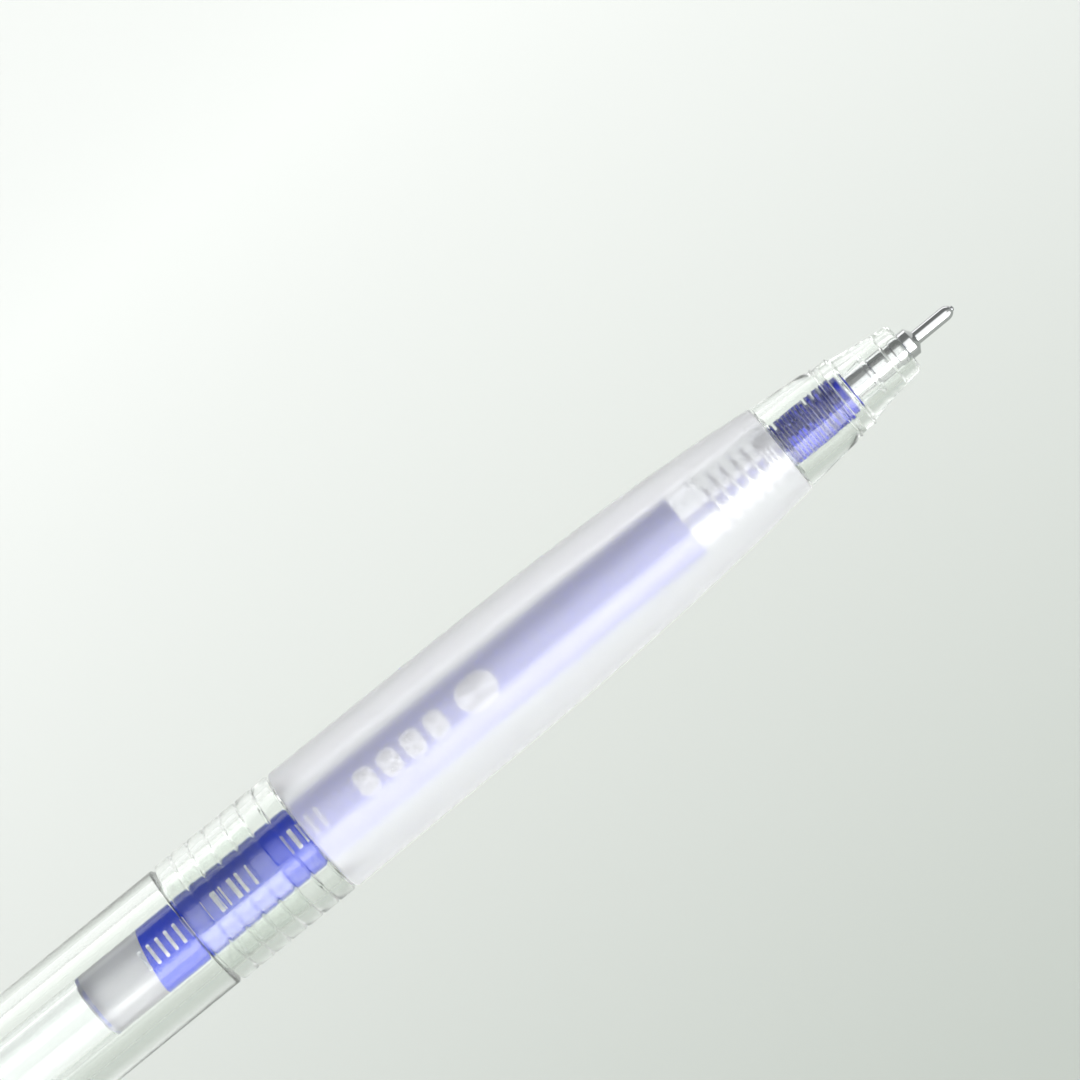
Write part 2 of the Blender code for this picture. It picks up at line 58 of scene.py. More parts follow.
FINE_ROUND = 176
INK_ROUND = 96
SHARP_ANGLE = math.radians(30)

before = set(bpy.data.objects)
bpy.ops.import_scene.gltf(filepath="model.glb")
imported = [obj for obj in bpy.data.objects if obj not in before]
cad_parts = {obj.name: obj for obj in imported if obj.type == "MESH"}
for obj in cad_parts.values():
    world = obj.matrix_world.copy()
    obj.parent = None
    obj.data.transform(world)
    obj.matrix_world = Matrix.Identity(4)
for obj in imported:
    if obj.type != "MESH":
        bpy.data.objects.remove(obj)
CAD_LO, CAD_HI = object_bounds()

TUBE_LO, TUBE_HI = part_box("ink_tube")
AXIS_Y = (TUBE_LO.y + TUBE_HI.y) / 2
AXIS_Z = (TUBE_LO.z + TUBE_HI.z) / 2
PEN_LENGTH = 0.145
TIP_X = CAD_LO.x + PEN_LENGTH


def station_of(x):
    """Station of a place along the pen's axis."""
    return (TIP_X - x) / MM


def span(node):
    """(front station, rear station, largest radius) of a CAD node on the axis."""
    low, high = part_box(node)
    return station_of(high.x), station_of(low.x), (high.y - low.y) / 2 / MM


# ---------------------------------------------------------------- shapes


def ring_point(station, radius, angle):
    """A point in the shared frame; angle 0 is +Z and 90 degrees is +Y."""
    return Vector((
        TIP_X - station * MM,
        AXIS_Y + radius * MM * math.sin(angle),
        AXIS_Z + radius * MM * math.cos(angle),
    ))


def arc(station, radius, size, start_deg, end_deg, steps):
    """Outline points on an arc about (station, radius)."""
    points = []
    for i in range(steps + 1):
        angle = math.radians(start_deg + (end_deg - start_deg) * i / steps)
        points.append((station + size * math.cos(angle), radius + size * math.sin(angle)))
    return points


def spread(start, end, steps):
    """Evenly spaced values, both ends included."""
    return [start + (end - start) * i / steps for i in range(steps + 1)]


def smooth_radius(outline, station):
    """Radius of a smooth outline at a station, by monotone cubic steps between its points."""
    slopes = [(b[1] - a[1]) / (b[0] - a[0]) for a, b in zip(outline, outline[1:])]
    tangents = [slopes[0]]
    for before, after in zip(slopes, slopes[1:]):
        tangents.append(2 * before * after / (before + after))
    tangents.append(slopes[-1])
    station = min(max(station, outline[0][0]), outline[-1][0])
    for i, (a, b) in enumerate(zip(outline, outline[1:])):
        if station <= b[0]:
            length = b[0] - a[0]
            t = (station - a[0]) / length
            return (
                a[1] * (2 * t**3 - 3 * t**2 + 1)
                + b[1] * (3 * t**2 - 2 * t**3)
                + length * tangents[i] * (t**3 - 2 * t**2 + t)
                + length * tangents[i + 1] * (t**3 - t**2)
            )
    return outline[-1][1]


def mesh_object(bm, name, mat, body, slot, *nodes):
    """A finished piece that rides on a body and stands for CAD nodes."""
    bmesh.ops.recalc_face_normals(bm, faces=bm.faces)
    mesh = bpy.data.meshes.new(name)
    bm.to_mesh(mesh)
    bm.free()
    mesh.shade_smooth()
    mesh.set_sharp_from_angle(angle=SHARP_ANGLE)
    mesh.materials.append(mat)
    obj = bpy.data.objects.new(name, mesh)
    bpy.context.scene.collection.objects.link(obj)
    if body:
        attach(obj, body)
    if nodes:
        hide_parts(*nodes)
    return obj


def bridge(bm, one, other):
    """Faces between two rings of a turned shape."""
    count = max(len(one), len(other))
    for i in range(count):
        j = (i + 1) % count
        if len(one) == 1:
            bm.faces.new((one[0], other[i], other[j]))
        elif len(other) == 1:
            bm.faces.new((one[i], other[0], one[j]))
        else:
            bm.faces.new((one[i], other[i], other[j], one[j]))


def add_turned(bm, outline, segments=ROUND, closed=True, relief=None):
    """Add a turned shape; relief(station, radius, angle) gives a new (station, radius)."""
    rings = []
    for station, radius in outline:
        if radius == 0:
            rings.append([bm.verts.new(ring_point(station, 0, 0))])
            continue
        ring = []
        for i in range(segments):
            angle = 2 * math.pi * i / segments
            place = relief(station, radius, angle) if relief else (station, radius)
            ring.append(bm.verts.new(ring_point(*place, angle)))
        rings.append(ring)
    for one, other in zip(rings, rings[1:]):
        bridge(bm, one, other)
    if closed:
        bridge(bm, rings[-1], rings[0])


def turned(name, outline, mat, body, slot, *nodes, segments=ROUND, closed=True, relief=None):
    """A turned piece."""
    bm = bmesh.new()
    add_turned(bm, outline, segments, closed, relief)
    return mesh_object(bm, name, mat, body, slot, *nodes)


def tube_outline(start, end, outer, inner, edge=0.0):
    """Outline of a tube with broken edges."""
    if not edge:
        return [(start, inner), (start, outer), (end, outer), (end, inner)]
    return [
        (start + edge, inner), (start, inner + edge),
        (start, outer - edge), (start + edge, outer),
        (end - edge, outer), (end, outer - edge),
        (end, inner + edge), (end - edge, inner),
    ]


# ---------------------------------------------------------------- materials


class Shader:
    """A Principled material and the few nodes that its detail needs."""

    def __init__(self, name, **sockets):
        self.mat = bpy.data.materials.new(name)
        self.mat.use_nodes = True
        self.tree = self.mat.node_tree
        self.main = self.tree.nodes["Principled BSDF"]
        for key, value in sockets.items():
            self.set(key.replace("_", " "), value)

    def set(self, socket, value):
        """Set one of the shader's own sockets."""
        if isinstance(value, tuple):
            value = (*value, 1.0)
        self.main.inputs[socket].default_value = value

    def node(self, kind, **settings):
        """A node; settings name its properties, or its inputs by their labels."""
        made = self.tree.nodes.new(kind)
        for key, value in settings.items():
            label = key.replace("_", " ")
            if label in made.inputs:
                made.inputs[label].default_value = value
            else:
                setattr(made, key, value)
        return made

    def link(self, source, target):
        """Join two sockets."""
        self.tree.links.new(source, target)

    def drive(self, source, socket):
        """Join an output to one of the shader's own sockets."""
        self.link(source, self.main.inputs[socket])

    def place(self):
        """Object coordinates, in metres."""
        return self.node("ShaderNodeTexCoord").outputs["Object"]

    def stretched(self, scale):
        """Object coordinates scaled by axis."""
        mapping = self.node("ShaderNodeMapping")
        mapping.inputs["Scale"].default_value = scale
        self.link(self.place(), mapping.inputs["Vector"])
        return mapping.outputs["Vector"]

    def noise(self, scale, detail=3.0, rough=0.5, stretch=None):
        """A noise pattern; scale is per metre."""
        made = self.node("ShaderNodeTexNoise", Scale=scale, Detail=detail, Roughness=rough)
        self.link(self.stretched(stretch) if stretch else self.place(), made.inputs["Vector"])
        return made.outputs["Fac"]

    def ramp(self, source, stops):
        """A colour ramp; stops are (position, colour)."""
        made = self.node("ShaderNodeValToRGB")
        elements = made.color_ramp.elements
        while len(elements) < len(stops):
            elements.new(0.5)
        for element, (position, colour) in zip(elements, stops):
            element.position = position
            element.color = (*colour, 1.0)
        self.link(source, made.inputs["Fac"])
        return made.outputs["Color"]

    def range(self, source, low, high, start=0.0, end=1.0):
        """A value mapped from start..end to low..high."""
        made = self.node("ShaderNodeMapRange")
        made.inputs["From Min"].default_value = start
        made.inputs["From Max"].default_value = end
        made.inputs["To Min"].default_value = low
        made.inputs["To Max"].default_value = high
        self.link(source, made.inputs["Value"])
        return made.outputs["Result"]

    def bump(self, height, strength, distance, normal=None):
        """A bump, which may stand on another one."""
        made = self.node("ShaderNodeBump", Strength=strength, Distance=distance)
        self.link(height, made.inputs["Height"])
        if normal is not None:
            self.link(normal, made.inputs["Normal"])
        return made.outputs["Normal"]


def clear_plastic():
    """Clear moulded plastic with a faint green cast, flow lines and fine handling marks."""
    s = Shader(
        "clear_plastic", Base_Color=(0.98, 0.995, 0.98), IOR=1.42, Transmission_Weight=1.0,
    )
    marks = s.noise(3000.0, 4.0, 0.6)
    s.drive(s.range(marks, 0.06, 0.10), "Roughness")
    flow = s.noise(60.0, 2.0, 0.5, stretch=(0.35, 1.0, 1.0))
    s.drive(s.bump(flow, 0.03, 0.0002), "Normal")
    return s.mat


def frosted_rubber():
    """Milky silicone: satin all over, with fine grain and stray specks of dust."""
    s = Shader(
        "frosted_rubber", IOR=1.41, Transmission_Weight=0.79,
        Sheen_Weight=0.6, Sheen_Roughness=0.4,
    )
    cloud = s.noise(220.0, 3.0, 0.55)
    milk = s.ramp(cloud, [(0.3, (0.95, 0.935, 0.985)), (0.75, (0.975, 0.965, 1.0))])
    specks = s.node("ShaderNodeTexVoronoi", Scale=700.0)
    s.link(s.place(), specks.inputs["Vector"])
    dust = s.range(specks.outputs["Distance"], 1.0, 0.0, 0.035, 0.06)
    mix = s.node("ShaderNodeMix", data_type="RGBA")
    s.link(dust, mix.inputs["Factor"])
    s.link(milk, mix.inputs["A"])
    mix.inputs["B"].default_value = (0.99, 0.98, 1.0, 1.0)
    s.drive(mix.outputs["Result"], "Base Color")
    s.drive(s.range(s.noise(400.0, 4.0, 0.6), 0.26, 0.36), "Roughness")
    grain = s.bump(s.noise(9000.0, 2.0, 0.6), 0.25, 0.00002)
    s.drive(s.bump(dust, 0.4, 0.00003, grain), "Normal")
    return s.mat


def sleeve_bore():
    """The inside of the silicone sleeve, where it clings to the clear core."""
    s = Shader(
        "sleeve_bore", Base_Color=(0.99, 0.985, 1.0), IOR=1.41, Transmission_Weight=1.0,
    )
    s.drive(s.range(s.noise(600.0, 4.0, 0.6), 0.12, 0.24), "Roughness")
    return s.mat


def milky_plastic():
    """Milky translucent moulding with a satin surface."""
    s = Shader("milky_plastic", IOR=1.49, Transmission_Weight=0.45)
    cloud = s.noise(150.0, 3.0, 0.5)
    colour = s.ramp(cloud, [(0.3, (0.86, 0.88, 0.88)), (0.8, (0.93, 0.945, 0.945))])
    s.drive(colour, "Base Color")
    s.drive(s.range(s.noise(700.0, 5.0, 0.7), 0.16, 0.30), "Roughness")
    s.drive(s.bump(s.noise(4000.0, 2.0, 0.5), 0.12, 0.00003), "Normal")
    return s.mat


def turned_metal(name, colour, smooth, worn, lines):
    """Turned and polished metal: fine rings from the tool, and a little unevenness."""
    s = Shader(name, Base_Color=colour, Metallic=1.0)
    rings = s.noise(1.0, 2.0, 0.6, stretch=(lines, 20.0, 20.0))
    s.drive(s.range(s.noise(2500.0, 4.0, 0.6), smooth, worn), "Roughness")
    s.drive(s.bump(rings, 0.35, 0.00001), "Normal")
    return s.mat


def refill_plastic():
    """Clear, slightly hazy polypropylene."""
    s = Shader(
        "refill_plastic", Base_Color=(0.985, 0.985, 0.995), IOR=1.49, Transmission_Weight=1.0,
    )
    s.drive(s.range(s.noise(3000.0, 4.0, 0.6), 0.08, 0.14), "Roughness")
    flow = s.noise(90.0, 2.0, 0.5, stretch=(0.3, 1.0, 1.0))
    s.drive(s.bump(flow, 0.2, 0.0001), "Normal")
    return s.mat


def blue_ink():
    """Gel ink, a touch lighter where it thins against the tube."""
    s = Shader("blue_ink", Roughness=0.35, IOR=1.36, Specular_IOR_Level=0.04)
    patch = s.noise(180.0, 3.0, 0.55, stretch=(0.5, 1.0, 1.0))
    colour = s.ramp(patch, [(0.3, (0.006, 0.055, 0.90)), (0.75, (0.022, 0.085, 0.98))])
    s.drive(colour, "Base Color")
    return s.mat


def inked_fins():
    """Clear fins stained by the ink between them."""
    s = Shader("inked_fins", IOR=1.49, Transmission_Weight=0.6, Roughness=0.2)
    patch = s.noise(900.0, 3.0, 0.6)
    colour = s.ramp(patch, [(0.35, (0.12, 0.14, 0.72)), (0.7, (0.62, 0.62, 0.94))])
    s.drive(colour, "Base Color")
    return s.mat


def ink_between_fins():
    """Dark ink held in the comb."""
    s = Shader("ink_between_fins", Roughness=0.2)
    patch = s.noise(1500.0, 3.0, 0.6)
    colour = s.ramp(patch, [(0.3, (0.006, 0.010, 0.26)), (0.7, (0.02, 0.03, 0.60))])
    s.drive(colour, "Base Color")
    return s.mat


def follower_grease():
    """Whitish translucent grease with faint clouds."""
    s = Shader("follower_grease", IOR=1.45, Transmission_Weight=0.85, Roughness=0.6)
    cloud = s.noise(350.0, 4.0, 0.6)
    colour = s.ramp(cloud, [(0.3, (0.93, 0.90, 0.965)), (0.8, (0.97, 0.95, 0.99))])
    s.drive(colour, "Base Color")
    s.drive(s.bump(s.noise(500.0, 3.0, 0.5), 0.2, 0.0001), "Normal")
    return s.mat


def grease_stain():
    """A faint blue ring where the ink once stood."""
    s = Shader("grease_stain", IOR=1.45, Transmission_Weight=0.3, Roughness=0.4)
    cloud = s.noise(700.0, 3.0, 0.6)
    colour = s.ramp(cloud, [(0.4, (0.30, 0.33, 0.80)), (0.65, (0.88, 0.88, 0.95))])
    s.drive(colour, "Base Color")
    return s.mat


def white_acetal():
    """White moulded acetal."""
    s = Shader("white_acetal", IOR=1.48)
    cloud = s.noise(300.0, 3.0, 0.5)
    colour = s.ramp(cloud, [(0.3, (0.80, 0.80, 0.78)), (0.8, (0.87, 0.87, 0.85))])
    s.drive(colour, "Base Color")
    s.drive(s.range(s.noise(900.0, 4.0, 0.6), 0.28, 0.42), "Roughness")
    s.drive(s.bump(s.noise(3000.0, 2.0, 0.5), 0.1, 0.00003), "Normal")
    return s.mat


def print_white():
    """White print, slightly uneven."""
    s = Shader("print_white", Roughness=0.5)
    cloud = s.noise(2500.0, 3.0, 0.6)
    colour = s.ramp(cloud, [(0.35, (0.70, 0.71, 0.78)), (0.7, (0.86, 0.86, 0.90))])
    s.drive(colour, "Base Color")
    return s.mat


# Distance towards +Y, in metres, over which the floor's painted shade fades out.
PAINTED_SHADE_FADE = 0.14


def floor_paper_painted_shade():
    """Pale, slightly green-grey seamless paper, with painted shade: its colour is darker on the
    -Y side of the pen.
    """
    s = Shader("floor_paper_painted_shade", Roughness=0.9, Specular_IOR_Level=0.2)
    split = s.node("ShaderNodeSeparateXYZ")
    s.link(s.place(), split.inputs["Vector"])
    # Painted shade: the paper is darkest at Y = 0 and below, and reaches its pale tone 14 cm
    # towards +Y.
    side = s.range(split.outputs["Y"], 0.0, 1.0, 0.0, PAINTED_SHADE_FADE)
    colour = s.ramp(side, [(0.0, (0.425, 0.45, 0.42)), (1.0, (0.75, 0.76, 0.745))])
    s.drive(colour, "Base Color")
    s.drive(s.bump(s.noise(1500.0, 3.0, 0.6), 0.05, 0.0001), "Normal")
    return s.mat


CLEAR = clear_plastic()
SLEEVE_BORE = sleeve_bore()
FROSTED = frosted_rubber()
MILKY = milky_plastic()
STEEL = turned_metal("steel", (0.52, 0.52, 0.53), 0.06, 0.16, 60000.0)
WIRE = turned_metal("spring_steel", (0.60, 0.61, 0.63), 0.15, 0.28, 3000.0)
CARBIDE = turned_metal("carbide", (0.42, 0.42, 0.44), 0.12, 0.2, 3000.0)
POLY = refill_plastic()
INK = blue_ink()
FINS = inked_fins()
COMB_INK = ink_between_fins()
GREASE = follower_grease()
STAIN = grease_stain()
ACETAL = white_acetal()
PRINT = print_white()
FLOOR = floor_paper_painted_shade()


# ---------------------------------------------------------------- refill

NEEDLE_R = 0.58
SHANK_R = span("needle_tip")[2]
SHANK_TAIL_R = 0.98
SHANK_GROOVE = 0.12
POINT_BORE_R = 0.29
POINT_LIP = 0.22
BALL_R = 0.248
INK_BORE_R = 0.45
COMB_FRONT, COMB_REAR, COMB_R = span("ink_comb")
COMB_STEP = COMB_FRONT + 0.6
COMB_PITCH = 0.32
COMB_CORE_R = 1.2
TUBE_FRONT, TUBE_REAR, TUBE_R = span("ink_tube")
TUBE_BORE_R = 2.2
INK_REAR = span("ink_column")[1]
FOLLOWER_REAR = span("ink_follower")[1]
NECK_FRONT, NECK_REAR, NECK_FLANGE_R = span("holder_neck")
NECK_R = 1.5
WETTED = 0.02


def make_tip():
    """The metal point with its shank, its groove, and the ball in its lip."""
    nose_end, nose_length = 0.87, 0.75
    outline = []
    for turn in spread(math.radians(60), 0, 16):
        outline.append((nose_end - nose_length * math.sin(turn), NEEDLE_R * math.cos(turn)))
    outline += [(3.66, NEEDLE_R), (3.72, NEEDLE_R + 0.02)]
    outline += [(4.06, SHANK_R - 0.05), (4.12, SHANK_R)]
    outline += [(5.78, SHANK_R), (5.86, SHANK_R - 0.03), (5.94, SHANK_R - SHANK_GROOVE)]
    outline += [(6.44, SHANK_R - SHANK_GROOVE), (6.52, SHANK_R - 0.03), (6.60, SHANK_R)]
    outline += [(7.94, SHANK_R), (8.0, SHANK_R - 0.05), (8.0, SHANK_TAIL_R)]
    outline += [(10.2, SHANK_TAIL_R), (10.2, POINT_BORE_R)]
    outline += [(POINT_LIP + 0.15, POINT_BORE_R), (POINT_LIP, 0.22)]
    turned("turned_point", outline, STEEL, "refill", "steel", "needle_tip")
    ball = bmesh.new()
    bmesh.ops.create_uvsphere(ball, u_segments=48, v_segments=32, radius=BALL_R * MM)
    bmesh.ops.translate(ball, verts=ball.verts, vec=ring_point(0.25, 0, 0))
    mesh_object(ball, "point_ball", CARBIDE, "refill", "carbide", "writing_ball")


def make_holder():
    """The clear holder: a thin flange, a sleeve round the shank and four fine ribs."""
    front, rear, radius = span("tip_holder")
    bore_r, sleeve_r = 1.04, 1.45
    rib_depth = 0.07

    def ribs(station, r, angle):
        if r > sleeve_r - 0.05 and station > front + 0.5:
            return station, r - rib_depth * (1 - max(0.0, math.cos(4 * angle)) ** 3)
        return station, r

    outline = [(front, bore_r), (front, radius - 0.05), (front + 0.05, radius)]
    outline += [(front + 0.32, radius), (front + 0.37, radius - 0.05), (front + 0.42, 1.5)]
    outline += [(rear - 0.9, sleeve_r), (rear - 0.85, sleeve_r), (rear - 0.1, sleeve_r)]
    outline += [(rear, sleeve_r - 0.07), (rear, bore_r)]
    turned(
        "shank_holder", outline, POLY, "refill", "refill_plastic", "tip_holder", relief=ribs,
    )


def make_comb():
    """The comb: fine clear fins, and the ink between them with gaps along one slit."""
    fins = bmesh.new()
    front_disc_r = 1.66
    rear_disc = COMB_REAR - 0.18
    fin_thickness = 0.11
    outline = [(COMB_FRONT, INK_BORE_R), (COMB_FRONT, front_disc_r)]
    outline += [(COMB_STEP - 0.04, front_disc_r), (COMB_STEP - 0.04, COMB_CORE_R)]
    count = int((COMB_REAR - COMB_STEP) / COMB_PITCH)
    for fin in range(count):
        start = COMB_STEP + fin * COMB_PITCH
        end = start + fin_thickness
        outline += [(start, COMB_CORE_R), (start, COMB_R - 0.05), (start + 0.03, COMB_R)]
        outline += [(end - 0.03, COMB_R), (end, COMB_R - 0.05), (end, COMB_CORE_R)]
    outline += [(rear_disc, COMB_CORE_R), (rear_disc, COMB_R)]
    outline += [(COMB_REAR, COMB_R), (COMB_REAR, INK_BORE_R)]
    add_turned(fins, outline)
    mesh_object(fins, "comb_fins", FINS, "refill", "inked_comb", "ink_comb")

    ink = bmesh.new()
    emptier_cells = (3, 5, 7, 16)
    for cell in range(count):
        start = COMB_STEP + cell * COMB_PITCH + 0.115
        end = start + COMB_PITCH - 0.12
        if cell == count - 1:
            end = COMB_REAR - 0.185
        lean = noise.noise(Vector((cell * 1.7, 0.3, 0.9)))
        gap_at = math.radians(-3 + 14 * lean)
        gap = 1.3 if cell in emptier_cells else 0.32

        def edge(station, r, angle, gap_at=gap_at, gap=gap, cell=cell):
            """The ink's uneven outer edge, with its gap at the slit."""
            if r < COMB_CORE_R + 0.1:
                return station, r
            away = abs((angle - gap_at + math.pi) % (2 * math.pi) - math.pi)
            hollow = min(1.0, max(0.0, 2 - 2 * away / (gap * 1.6))) * 0.8
            where = Vector((cell * 3.1, 2 * math.sin(angle), 2 * math.cos(angle)))
            ripple = 0.16 * noise.noise(where)
            return station, r - hollow - abs(ripple)

        cell_outline = tube_outline(start, end, COMB_R - 0.02, COMB_CORE_R + 0.01)
        add_turned(ink, cell_outline, relief=edge)
    add_turned(ink, tube_outline(COMB_FRONT + 0.1, COMB_STEP - 0.08, 1.68, 1.62))
    mesh_object(ink, "comb_ink", COMB_INK, "refill", "inked_comb")


def make_neck():
    """The connector between comb and tube, with the flange that the spring pushes on."""
    flange = TUBE_FRONT - 0.55
    flange_end = TUBE_FRONT - 0.05
    plug_r = 2.15
    rib_depth = 0.08
    core_r = INK_BORE_R - 0.01

    def ribs(station, r, angle):
        if NECK_R - 0.01 < r < NECK_R + 0.01:
            return station, r - rib_depth * (1 - max(0.0, math.cos(3 * angle)) ** 2)
        return station, r

    outline = [(NECK_FRONT, INK_BORE_R), (NECK_FRONT, NECK_R - 0.06)]
    outline += [(NECK_FRONT + 0.06, NECK_R), (flange - 0.15, NECK_R), (flange, NECK_R + 0.15)]
    outline += [(flange, NECK_FLANGE_R - 0.05), (flange + 0.05, NECK_FLANGE_R)]
    outline += [(flange_end - 0.05, NECK_FLANGE_R), (flange_end, NECK_FLANGE_R - 0.05)]
    outline += [(flange_end, plug_r), (NECK_REAR, plug_r), (NECK_REAR, INK_BORE_R)]
    turned(
        "neck_connector", outline, POLY, "refill", "refill_plastic", "holder_neck", relief=ribs,
    )
    core = [(NECK_FRONT + 0.05, 0), (NECK_FRONT + 0.05, core_r)]
    core += [(NECK_REAR, core_r), (NECK_REAR, 0)]
    turned("neck_ink", core, INK, "refill", "blue_ink", closed=False)


def make_tube_and_ink():
    """The tube with the ink that wets it, the grease behind the ink and the vented plug."""
    outline = tube_outline(TUBE_FRONT, TUBE_REAR, TUBE_R, TUBE_BORE_R, 0.06)
    turned("refill_tube", outline, POLY, "refill", "refill_plastic", "ink_tube")
    wet = TUBE_BORE_R + WETTED
    slant = 0.45
    low_side = math.radians(240)
    bulge = 0.75
    shares = (0.1, 0.3, 0.5, 0.65, 0.8, 0.9, 0.97, 1.0)

    def surface(base):
        """A relief for the slanted, hollow end between ink and grease."""
        def place(station, r, angle):
            if station < base - 3 or station > base + 3:
                return station, r
            share = r / wet
            lean = slant * share * math.cos(angle - low_side)
            return station + lean + bulge * (share**2 - 1), r
        return place

    ink = [(NECK_REAR + 0.02, 0), (NECK_REAR + 0.02, wet)]
    ink += [(station, wet) for station in spread(NECK_REAR + 2, INK_REAR - 4, 10)]
    ink += [(INK_REAR, wet * share) for share in reversed(shares)]
    ink += [(INK_REAR - bulge, 0)]
    turned(
        "ink_fill", ink, INK, "refill", "blue_ink", "ink_column",
        closed=False, relief=surface(INK_REAR), segments=INK_ROUND,
    )

    start = INK_REAR + 0.04
    grease = [(start - bulge, 0)]
    grease += [(start, wet * share) for share in shares]
    grease += [(station, wet) for station in spread(start + 3.2, FOLLOWER_REAR - 0.6, 4)]
    grease += [(FOLLOWER_REAR, wet - 0.03), (FOLLOWER_REAR - 0.35, wet * 0.8)]
    grease += [(FOLLOWER_REAR - 0.6, wet * 0.4), (FOLLOWER_REAR - 0.65, 0)]
    turned(
        "grease_fill", grease, GREASE, "refill", "follower_grease", "ink_follower",
        closed=False, relief=surface(start), segments=INK_ROUND,
    )

    stain = tube_outline(FOLLOWER_REAR - 0.42, FOLLOWER_REAR - 0.12, wet + 0.004, wet - 0.2)
    turned("grease_stain", stain, STAIN, "refill", "blue_ink")

    front, rear, radius = span("tail_plug")
    vent_r = 0.4
    plug = [(front, vent_r), (front, radius - 0.2), (front + 0.3, radius)]
    plug += [(rear - 0.05, radius), (rear, radius - 0.05)]
    plug += [(rear, 0.9), (rear - 0.3, 0.85), (rear - 0.3, vent_r)]
    turned("vent_plug", plug, ACETAL, "refill", "white_acetal", "tail_plug")


def patch(bm, start, end, low_deg, high_deg, corner):
    """A thin curved block of print with rounded corners, standing on the refill tube."""
    foot = TUBE_R + 0.004
    top = TUBE_R + 0.016
    middle = (start + end) / 2
    centre = math.radians((low_deg + high_deg) / 2)
    half_height = math.radians(high_deg - low_deg) * foot / 2
    half_length = (end - start) / 2
    size = min(corner, half_height, half_length)
    rims = ([], [])
    for quarter in range(4):
        across_sign = 1 if quarter in (0, 1) else -1
        along_sign = 1 if quarter in (0, 3) else -1
        for turn in spread(math.pi / 2 * quarter, math.pi / 2 * (quarter + 1), 4):
            across = (half_height - size) * across_sign + size * math.sin(turn)
            along = (half_length - size) * along_sign + size * math.cos(turn)
            angle = centre + across / foot
            for rim, radius in zip(rims, (foot, top)):
                rim.append(bm.verts.new(ring_point(middle + along, radius, angle)))
    for rim, radius in zip(rims, (foot, top)):
        bridge(bm, rim, [bm.verts.new(ring_point(middle, radius, centre))])
    bridge(bm, *rims)


def make_print():
    """Plain blocks where such a refill carries its print; they say nothing."""
    bm = bmesh.new()
    low, high = -42.5, -3.5
    bar_pitch, bar_width = 0.85, 0.3
    patch(bm, 45.1, 48.7, low - 8, high + 8, 1.8)
    for start, end in ((50.0, 51.7), (52.3, 54.0), (54.6, 56.3), (56.9, 58.6)):
        patch(bm, start, end, low - 2, high + 2, 0.6)
    for first, count in ((62.0, 5), (69.0, 5), (75.4, 6)):
        for i in range(count):
            start = first + bar_pitch * i
            patch(bm, start, start + bar_width, low + 3, high, 0.1)
    mesh_object(bm, "refill_print", PRINT, "refill", "refill_plastic")


# ---------------------------------------------------------------- front section

NOSE_FRONT, NOSE_REAR, COLLAR_R = span("nose_section")
GRIP_FRONT, GRIP_REAR, GRIP_MAX_R = span("grip_sleeve")
GRIP_SHAPE = ((0.0, 3.9), (5.8, 4.51), (15.4, 5.1), (28.3, 5.42), (46.6, 5.55))
SOCKET_R = 4.5
CAVITY_R = 2.8
FRONT_BORE_R = 1.88
MOUTH_R = 1.4
RIBS = 7
RIB_PROFILE = (
    (0.02, 0.13), (0.05, 0.08), (0.09, 0.025), (0.15, 0.0), (0.5, 0.0),
    (0.85, 0.0), (0.91, 0.025), (0.95, 0.08), (0.98, 0.13),
)
GRIP_TAPER_LENGTH = 14.9


def grip_outer(station):
    """Outside radius of the grip sleeve."""
    return smooth_radius(GRIP_SHAPE, station - GRIP_FRONT)


def grip_inner(station):
    """Inside radius of the grip sleeve, which is thinner towards the nose."""
    share = min(max((station - GRIP_FRONT) / GRIP_TAPER_LENGTH, 0.0), 1.0)
    return grip_outer(station) - 0.5 - 0.45 * share


def make_nose():
    """The clear section: mouth, raised band, core under the sleeve and ribbed collar."""
    lip = NOSE_FRONT
    outside = [(lip + 0.02, 1.62)] + arc(lip + 0.52, 1.72, 0.5, 175, 92, 10)
    outside += [(6.2, 2.31), (6.5, 2.35), (8.7, 2.66), (10.05, 2.95)]
    outside += arc(10.25, 3.07, 0.11, 170, 15, 6) + [(10.6, 3.12), (11.4, 3.15)]
    outside += arc(11.65, 3.15, 0.13, 165, 15, 6) + [(11.9, 3.2), (12.3, 3.38)]
    outside += [(13.5, 3.5), (15.2, 3.66), (GRIP_FRONT - 0.25, 3.79), (GRIP_FRONT - 0.15, 3.78)]
    under_grip = spread(GRIP_FRONT - 0.1, GRIP_REAR + 0.1, 40)
    core = [(station, grip_inner(station) - 0.05) for station in under_grip]
    start = GRIP_REAR + 0.15
    pitch = (NOSE_REAR - start) / RIBS
    collar = [(start, COLLAR_R - 0.35), (start, COLLAR_R - 0.16)]
    for rib in range(RIBS):
        base = start + rib * pitch
        for share, depth in RIB_PROFILE:
            collar.append((base + share * pitch, COLLAR_R - depth))
    collar += [(NOSE_REAR, COLLAR_R - 0.2)]
    inside = [(NOSE_REAR, SOCKET_R + 0.12), (NOSE_REAR - 0.15, SOCKET_R)]
    inside += [(64.4, SOCKET_R), (63.6, 4.1), (61.5, 3.6), (40.0, 3.45), (27.0, 2.95)]
    inside += [(23.4, 2.95), (23.4, CAVITY_R), (11.15, CAVITY_R), (11.1, CAVITY_R - 0.05)]
    inside += [(11.1, 2.05), (10.2, 2.05), (10.0, FRONT_BORE_R), (6.55, FRONT_BORE_R)]
    inside += [(6.5, FRONT_BORE_R - 0.05), (6.35, MOUTH_R), (lip + 0.15, MOUTH_R)]
    inside += [(lip + 0.05, MOUTH_R + 0.05)]

    turned(
        "clear_section", outside + core + collar + inside, CLEAR, "front_section",
        "clear_plastic", "nose_section", segments=FINE_ROUND,
    )


